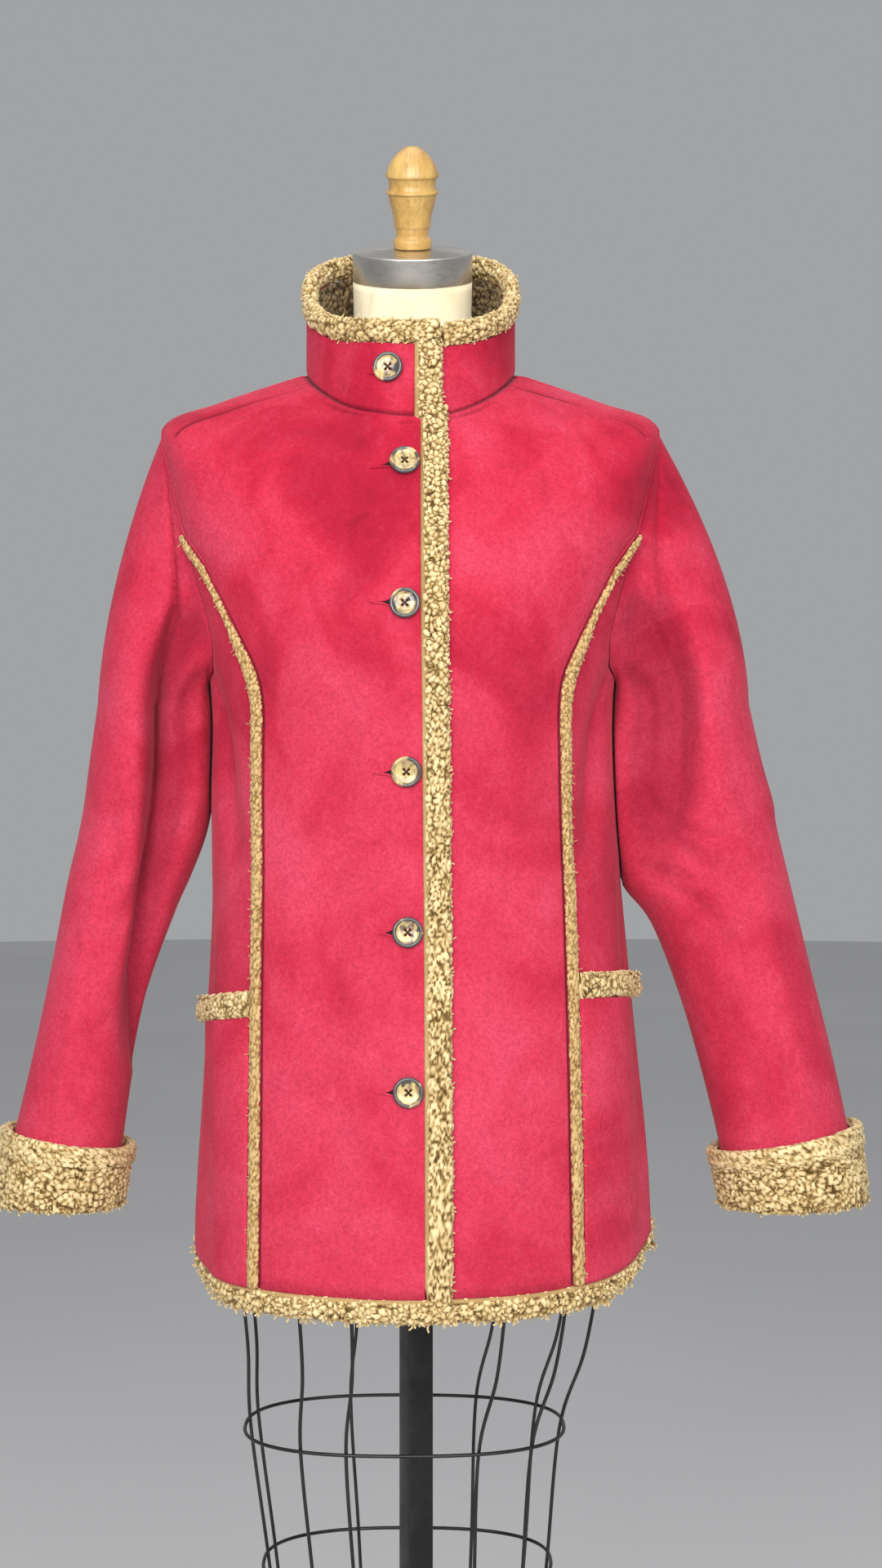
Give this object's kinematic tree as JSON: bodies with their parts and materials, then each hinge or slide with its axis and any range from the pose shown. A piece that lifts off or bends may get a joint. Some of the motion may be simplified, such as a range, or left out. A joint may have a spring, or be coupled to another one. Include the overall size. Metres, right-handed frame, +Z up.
{
  "type": "sherpa lined jacket on a dress form",
  "caption": "Hip-length suede-cloth jacket with sherpa pile trim and turned-back cuffs, buttoned on a limbless dress form with a wire cage.",
  "frame": {"origin": "middle of the base's underside, on the floor", "axes": "+Z up, the jacket's front faces -Y, the wearer's left is +X"},
  "size_m": [0.7295, 0.44, 1.6151],
  "materials": {
    "suede": "brushed suede cloth, dull",
    "sherpa": "curled pile, dull",
    "lining": "curled pile, dull",
    "button": "mottled horn look, polished",
    "linen": "plain weave, dull",
    "neck_cap": "brushed",
    "finial": "varnished",
    "wire": "satin black",
    "stand": "satin black",
    "base": "satin black paint"
  },
  "bodies": {
    "root": {"front_right": "suede", "front_left": "suede", "side_front_right": "suede", "side_front_left": "suede", "back": "suede", "collar": "suede", "sleeve_right": "suede", "sleeve_left": "suede", "pocket_right": "suede", "pocket_left": "suede", "princess_trim_right": "sherpa", "princess_trim_left": "sherpa", "front_band": "sherpa", "collar_band": "sherpa", "pocket_band_right": "sherpa", "pocket_band_left": "sherpa", "hem_trim_right": "sherpa", "hem_trim_left": "sherpa", "hem_trim_back": "sherpa", "collar_trim": "sherpa", "cuff_right": "sherpa", "cuff_left": "sherpa", "collar_lining": "lining", "button_1": "button", "button_2": "button", "button_3": "button", "button_4": "button", "button_5": "button", "button_6": "button", "form_torso": "linen", "form_cap": "neck_cap", "form_finial": "finial", "cage_wire_1": "wire", "cage_wire_2": "wire", "cage_wire_3": "wire", "cage_wire_4": "wire", "cage_wire_5": "wire", "cage_wire_6": "wire", "cage_wire_7": "wire", "cage_wire_8": "wire", "cage_wire_9": "wire", "cage_wire_10": "wire", "cage_hoop_1": "wire", "cage_hoop_2": "wire", "cage_hoop_3": "wire", "pole_flange": "stand", "pole": "stand", "base": "base"}
  },
  "joints": []
}
